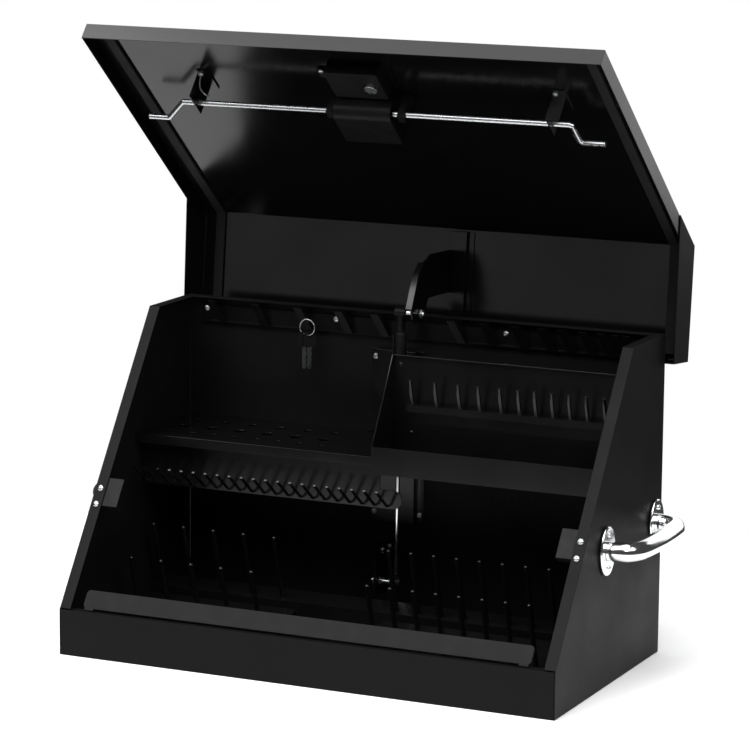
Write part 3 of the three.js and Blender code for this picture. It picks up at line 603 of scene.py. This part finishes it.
class TOOLBOX_OT_lid(bpy.types.Operator):
    """Finish the lid: skin, side plates, seals, stiffener and arm"""
    bl_idname = "toolbox.lid"
    bl_label = "Lid"

    def execute(self, context):
        edge = context.scene.tool_box_sizes.edge
        dressed("lid_skin", enamel(), edge)
        for side in ("left", "right"):
            dressed(f"lid_side_{side}", powder_coat(), edge)
            dressed(f"lid_seal_{side}", rubber(), 1.2 * MM, 3)
            dressed(f"lid_strip_{side}", enamel(), edge)
        dressed("lid_stiffener", enamel(), edge)
        dressed("lid_arm", enamel(), edge)
        dressed("strut_stud_upper", zinc(), 0.6 * MM)
        return {"FINISHED"}


class TOOLBOX_OT_handles(bpy.types.Operator):
    """Build the two bright grab handles on their oval feet"""
    bl_idname = "toolbox.handles"
    bl_label = "Grab handles"

    def execute(self, context):
        radius = context.scene.tool_box_sizes.grip / 2
        for side, s in (("left", -1), ("right", 1)):
            low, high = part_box(f"handle_{side}")
            front = low.y + radius
            rear = high.y - radius
            height = (low.z + high.z) / 2
            reach = (high.x if s > 0 else -low.x) - radius - SIDE_FACE
            # The bar's bend: distance out from the side panel, and distance in from the bar's end.
            bend = [(0.0058, 0), (0.016, 0.0005), (0.030, 0.006), (reach - 0.0065, 0.020),
                    (reach - 0.0025, 0.042)]
            marks = [(out, front + along) for out, along in bend]
            marks.append((reach, (front + rear) / 2))
            marks += [(out, rear - along) for out, along in reversed(bend)]
            line = smooth_line([Vector((s * (SIDE_FACE + out), y, height)) for out, y in marks], 6)
            piece = linked(f"grab_bar_{side}", swept(f"grab_bar_{side}", line, radius, 32))
            piece.data.shade_smooth()
            piece.data.set_sharp_from_angle(angle=math.radians(50))
            settle(piece, chrome(), "box", "chrome_bright", f"handle_{side}")
            for end in ("front", "rear"):
                dressed(f"handle_foot_{side}_{end}", chrome(), 2.2 * MM, 4)
        return {"FINISHED"}


def smooth_line(marks, steps):
    """Points on a smooth curve through the marks."""
    padded = [2 * marks[0] - marks[1], *marks, 2 * marks[-1] - marks[-2]]
    line = []
    for i in range(1, len(padded) - 2):
        a, b, c, d = padded[i - 1:i + 3]
        for k in range(steps):
            t = k / steps
            line.append(0.5 * ((2 * b) + (c - a) * t + (2 * a - 5 * b + 4 * c - d) * t * t
                               + (3 * b - a - 3 * c + d) * t ** 3))
    line.append(marks[-1])
    return line


class TOOLBOX_OT_strut(bpy.types.Operator):
    """Build the gas strut: tube with its rolled end, bright rod, sockets and studs"""
    bl_idname = "toolbox.strut"
    bl_label = "Gas strut"

    def execute(self, context):
        axis = (STRUT_TOP - STRUT_FOOT).normalized()
        start = STRUT_TOP - axis * (TUBE_DROP + TUBE_LENGTH)
        # The rolled ends and the shallow groove, as distance along the tube and radius.
        wall = [(0.0, 0.0040), (0.0, 0.0070), (0.0008, 0.0082), (0.0022, TUBE_RADIUS),
                (0.010, TUBE_RADIUS), (0.0108, 0.0082), (0.0118, TUBE_RADIUS),
                (TUBE_LENGTH - 0.006, TUBE_RADIUS), (TUBE_LENGTH - 0.003, 0.0082),
                (TUBE_LENGTH - 0.0012, 0.0070), (TUBE_LENGTH - 0.0004, 0.0050)]
        tube = linked("strut_cylinder", turned("strut_cylinder", start, axis, wall))
        tube.data.shade_smooth()
        tube.data.set_sharp_from_angle(angle=math.radians(35))
        settle(tube, moulding(), "strut_tube", "black_plastic", "strut_tube")
        dressed("strut_rod", chrome(), 0.4 * MM)
        for node in ("strut_socket_lower", "strut_socket_upper"):
            dressed(node, moulding(), 1.2 * MM, 3)
        dressed("strut_stud_lower", zinc(), 0.6 * MM)
        return {"FINISHED"}


class TOOLBOX_OT_latch(bpy.types.Operator):
    """Finish the latch: pan, paddle, cover, crank, lock, bars, their posts, guides and spring"""
    bl_idname = "toolbox.latch"
    bl_label = "Latch"

    def execute(self, context):
        for node in ("latch_pan", "latch_ear", "latch_cover", "bar_post_left", "bar_post_right"):
            dressed(node, moulding(), 1.0 * MM, 3)
        for node in ("latch_crank", "lock_cylinder", "latch_bar_left", "latch_bar_right", "paddle_pin"):
            dressed(node, zinc(), 0.6 * MM)
        dressed("latch_paddle", chrome(), 0.8 * MM, 3)
        for node in ("bar_guide_left", "bar_guide_right"):
            dressed(node, enamel(), 0.4 * MM)
        spring = frame["nodes"]["guide_spring"].data
        spring.materials.clear()
        spring.materials.append(zinc())
        return {"FINISHED"}


class TOOLBOX_OT_keys(bpy.types.Operator):
    """Build the two keys on their ring"""
    bl_idname = "toolbox.keys"
    bl_label = "Keys"

    def execute(self, context):
        low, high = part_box("key_ring")
        centre = (low + high) / 2
        line = [centre + RING_RADIUS * Vector((math.sin(a), 0, -math.cos(a)))
                for a in (2 * math.pi * k / RING_TURNS for k in range(RING_TURNS))]
        ring = linked("split_ring", ring_mesh(line, RING_WIRE))
        settle(ring, zinc(), "key_ring", "zinc_plated", "key_ring")
        for side, s in (("left", -1), ("right", 1)):
            angle = s * KEY_SPREAD
            hang = centre + RING_RADIUS * Vector((math.sin(angle), 0, -math.cos(angle)))
            place = Matrix.Translation(hang) @ Matrix.Rotation(KEY_TWIST, 4, "Z")
            head = linked(f"key_head_{side}", key_head(place))
            bevelled(head, 0.6 * MM, 3)
            settle(baked(head), moulding(), f"key_{side}", "black_plastic", f"key_{side}")
            blade = linked(f"key_blade_{side}", key_blade(place))
            bevelled(blade, 0.15 * MM, 2)
            settle(baked(blade), nickel(), f"key_{side}", "zinc_plated")
        return {"FINISHED"}


def ring_mesh(line, radius, sides=12):
    """Closed wire ring through the points."""
    vertices = []
    count = len(line)
    middle = sum(line, Vector()) / count
    for point in line:
        out = (point - middle).normalized()
        for k in range(sides):
            a = 2 * math.pi * k / sides
            vertices.append(point + radius * (math.cos(a) * out + math.sin(a) * Vector((0, 1, 0))))
    faces = []
    for i in range(count):
        for k in range(sides):
            a = i * sides
            b = ((i + 1) % count) * sides
            faces.append([a + k, a + (k + 1) % sides, b + (k + 1) % sides, b + k])
    mesh = mesh_of("split_ring", vertices, faces)
    mesh.shade_smooth()
    return mesh


def plate_mesh(name, outline, half, place, hole=()):
    """Flat plate from an outline in X-Z, with a round hole if its points are given."""
    form = bmesh.new()
    loops = [outline] + ([hole] if hole else [])
    rings = []
    for y in (-half, half):
        for loop in loops:
            rings.append([form.verts.new((x, y, z)) for x, z in loop])
    split = len(loops)
    for i in range(split):
        low = rings[i]
        high = rings[i + split]
        for k in range(len(low)):
            n = (k + 1) % len(low)
            form.faces.new((low[k], low[n], high[n], high[k]))
    for side in (0, split):
        edges = []
        for ring in rings[side:side + split]:
            for k in range(len(ring)):
                edges.append(form.edges.get((ring[k], ring[(k + 1) % len(ring)])))
        bmesh.ops.triangle_fill(form, use_beauty=True, use_dissolve=False, edges=edges)
    bmesh.ops.recalc_face_normals(form, faces=form.faces)
    form.transform(place)
    mesh = bpy.data.meshes.new(name)
    form.to_mesh(mesh)
    form.free()
    return mesh


def key_head(place):
    """Moulded head with its ring hole, rounded at four corners."""
    corner = 5.4
    opening = 3.9 * MM
    half = 1.3 * MM
    sides = 20
    outline = []
    for x, z, start in ((3.5, -0.5, 0), (-3.5, -0.5, 90), (-4.5, -12.5, 180), (4.5, -12.5, 270)):
        for k in range(7):
            a = math.radians(start + 15 * k)
            outline.append(((x + corner * math.cos(a)) * MM, (z + corner * math.sin(a)) * MM))
    hole = [(opening * math.cos(a), opening * math.sin(a))
            for a in (2 * math.pi * k / sides for k in range(sides))]
    return plate_mesh("key_head", outline, half, place, hole)


def key_blade(place):
    """Blade with its cuts along one edge and a pointed tip, outlined in millimetres."""
    half = 0.9 * MM
    cuts = [(3.5, -16), (3.5, -20)]
    for step, rise in enumerate((1.2, 0.5, 1.9, 0.9, 1.5)):
        z = -22 - 5 * step
        cuts += [(3.5 - rise, z), (3.5 - rise, z - 2), (3.4 - 0.3 * (step % 2), z - 3.5)]
    outline = cuts + [(1.6, -50), (-1.4, -51), (-3.5, -48), (-3.5, -16)]
    return plate_mesh("key_blade", [(x * MM, z * MM) for x, z in outline], half, place)


class TOOLBOX_OT_fasteners(bpy.types.Operator):
    """Put the screws and rivets on shell, racks, handles and lid"""
    bl_idname = "toolbox.fasteners"
    bl_label = "Screws and rivets"

    def execute(self, context):
        sizes = context.scene.tool_box_sizes
        screw = screw_shape()
        rivet = rivet_shape()
        slope_up = Vector((0, -math.sin(SLOPE), math.cos(SLOPE)))
        strikes = [on_slope(s * STRIKE_X, up, 0.0) for s in (-1, 1) for up in STRIKE_UP]
        copies("strike_screws", screw, strikes, slope_up, sizes.screw, zinc(), "box", "zinc_plated", 1.5)
        points = [Vector((x, RACK_SCREW_Y, z)) for x, z in RACK_SCREWS]
        points += [Vector((x, POST_SCREW_Y, z)) for x, z in POST_SCREWS]
        forward = Vector((0, -1, 0))
        copies("rack_screws", screw, points, forward, sizes.screw, zinc(), "box", "zinc_plated", 1.5)
        rivets = [Vector((x, TRAY_RIVET_Y, z)) for x, z in TRAY_RIVETS]
        copies("tray_rivets", rivet, rivets, forward, sizes.rivet, enamel(), "box", "black_paint")
        for side, s in (("left", -1), ("right", 1)):
            feet = [Vector((s * FOOT_FACE, y, FOOT_Z + rise))
                    for y in FOOT_Y for rise in (-FOOT_SCREW_RISE, FOOT_SCREW_RISE)]
            out = Vector((s, 0, 0))
            copies(f"foot_screws_{side}", screw, feet, out, 0.8 * sizes.screw, chrome(), "box",
                   "chrome_bright", 1.5)
        plate = [Vector((BRACKET_FACE, y, z)) for y, z in BRACKET_SCREWS]
        copies("bracket_screws", screw, plate, Vector((1, 0, 0)), sizes.screw, zinc(), "box",
               "zinc_plated", 1.5)
        inwards = (on_lid(0, 0.3, 0.01) - on_lid(0, 0.3, 0.0)).normalized()
        ears = [on_lid(*place) for place in LID_SCREWS]
        copies("lid_screws", screw, ears, inwards, 0.9 * sizes.screw, zinc(), "lid", "zinc_plated", 1.5)
        bpy.data.objects.remove(screw)
        bpy.data.objects.remove(rivet)
        return {"FINISHED"}


class TOOLBOX_OT_stage(bpy.types.Operator):
    """Set the plain pale floor, the soft studio light and the camera"""
    bl_idname = "toolbox.stage"
    bl_label = "Stage"

    def execute(self, context):
        rim = [(FLOOR_RADIUS * math.cos(a), FLOOR_RADIUS * math.sin(a), -FLOOR_DROP)
               for a in (2 * math.pi * k / FLOOR_SIDES for k in range(FLOOR_SIDES))]
        floor = linked("studio_floor", mesh_of("studio_floor", rim, [list(range(FLOOR_SIDES))]))
        floor.data.materials.append(floor_paint())
        studio_light()
        camera = bpy.data.cameras.new("camera")
        camera.lens = LENS
        camera.sensor_width = SENSOR
        camera.clip_end = FARTHEST
        seat = linked("camera", camera)
        seat.matrix_world = view_matrix(CAMERA_PLACE, CAMERA_AZIMUTH, CAMERA_ELEVATION, CAMERA_ROLL)
        bpy.context.scene.camera = seat
        return {"FINISHED"}


def view_matrix(place, azimuth, elevation, roll):
    """Matrix of a camera there, looking along that azimuth and down by that elevation, in degrees."""
    az, el, ro = (math.radians(v) for v in (azimuth, elevation, roll))
    ahead = Vector((math.sin(az) * math.cos(el), math.cos(az) * math.cos(el), -math.sin(el)))
    right = Vector((math.cos(az), -math.sin(az), 0))
    up = right.cross(ahead)
    level = right * math.cos(ro) + up * math.sin(ro)
    upright = up * math.cos(ro) - right * math.sin(ro)
    return Matrix.Translation(place) @ Matrix((level, upright, -ahead)).transposed().to_4x4()


def soft_box(name, place, aim, width, height, power):
    """Rectangular area light at a place, turned to face a point, and hidden from the camera."""
    lamp = bpy.data.lights.new(name, "AREA")
    lamp.shape = "RECTANGLE"
    lamp.size = width
    lamp.size_y = height
    lamp.energy = power
    holder = linked(name, lamp)
    holder.location = place
    holder.visible_camera = False
    holder.rotation_euler = (Vector(aim) - Vector(place)).to_track_quat("-Z", "Y").to_euler()


def studio_light():
    """A background that is white to the camera and lights the box dimly, a wide sky and soft boxes."""
    scene = bpy.context.scene
    world = bpy.data.worlds.new("studio")
    scene.world = world
    world.use_nodes = True
    tree = world.node_tree
    tree.nodes.clear()
    path = add_node(tree, "ShaderNodeLightPath")
    white = (1, 1, 1, 1)
    seen = add_node(tree, "ShaderNodeBackground", {"Color": white, "Strength": WORLD_SEEN})
    dim = add_node(tree, "ShaderNodeBackground", {"Color": white, "Strength": WORLD_LIT})
    both = add_node(tree, "ShaderNodeMixShader", {
        0: path.outputs["Is Camera Ray"], 1: dim.outputs[0], 2: seen.outputs[0]})
    add_node(tree, "ShaderNodeOutputWorld", {"Surface": both.outputs[0]})
    sky = bpy.data.lights.new("sky_panel", "SUN")
    sky.energy = SKY_STRENGTH
    sky.angle = SKY_ANGLE
    holder = linked("sky_panel", sky)
    holder.rotation_euler = SKY_TILT
    for row in SOFT_BOXES:
        soft_box(*row)
    scene.view_settings.view_transform = "Standard"
    scene.view_settings.look = "None"


class TOOLBOX_PT_panel(bpy.types.Panel):
    """Settings and steps of the tool box"""
    bl_label = "Tool box"
    bl_idname = "TOOLBOX_PT_panel"
    bl_space_type = "VIEW_3D"
    bl_region_type = "UI"
    bl_category = "Tool box"

    def draw(self, context):
        for group in (context.scene.tool_box_sizes, context.scene.tool_box_finish):
            for name in group.__annotations__:
                self.layout.prop(group, name)
        for step in STEPS:
            self.layout.operator(step.bl_idname)


STEPS = (TOOLBOX_OT_stage, TOOLBOX_OT_shell, TOOLBOX_OT_lid, TOOLBOX_OT_racks, TOOLBOX_OT_peg_tips,
         TOOLBOX_OT_handles, TOOLBOX_OT_strut, TOOLBOX_OT_latch, TOOLBOX_OT_keys, TOOLBOX_OT_fasteners)
CLASSES = (ToolBoxFinish, ToolBoxSizes, *STEPS, TOOLBOX_PT_panel)


def register():
    for cls in CLASSES:
        bpy.utils.register_class(cls)
    bpy.types.Scene.tool_box_finish = bpy.props.PointerProperty(type=ToolBoxFinish)
    bpy.types.Scene.tool_box_sizes = bpy.props.PointerProperty(type=ToolBoxSizes)


def unregister():
    del bpy.types.Scene.tool_box_sizes
    del bpy.types.Scene.tool_box_finish
    for cls in reversed(CLASSES):
        bpy.utils.unregister_class(cls)


def main():
    """Runs every step in order."""
    register()
    for step in STEPS:
        family, name = step.bl_idname.split(".")
        result = getattr(getattr(bpy.ops, family), name)()
        if result != {"FINISHED"}:
            raise RuntimeError(f"{step.bl_idname} did not finish")


if __name__ == "__main__":
    main()
